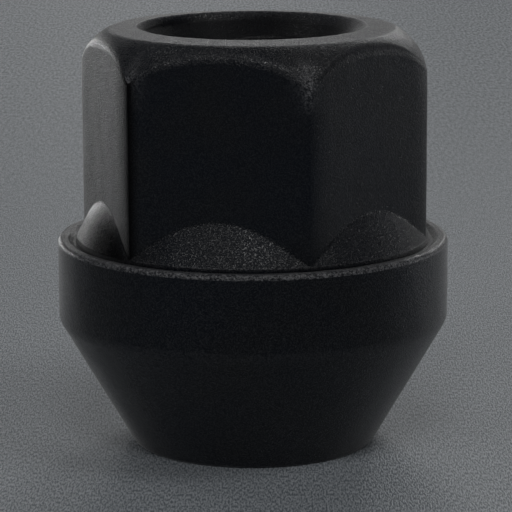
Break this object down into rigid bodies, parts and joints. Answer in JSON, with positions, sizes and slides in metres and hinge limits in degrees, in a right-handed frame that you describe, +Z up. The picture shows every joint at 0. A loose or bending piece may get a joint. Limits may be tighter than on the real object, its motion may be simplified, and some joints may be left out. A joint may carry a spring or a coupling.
{
  "type": "wheel lug nut",
  "caption": "Open-ended steel wheel lug nut with a domed hexagon, a round flange, a 60 degree cone seat and a through bore, coated black.",
  "frame": {"origin": "centre of the small end's face, on the bore axis", "axes": "+Z up the bore axis from the small end to the domed hexagon; one wrench flat faces -Y, and two corners point to +X and -X"},
  "size_m": [0.024, 0.024, 0.0258],
  "materials": {
    "coated_steel": "satin black coating over forged steel, slightly speckled"
  },
  "bodies": {
    "root": {"lug_nut": "coated_steel"}
  },
  "joints": []
}
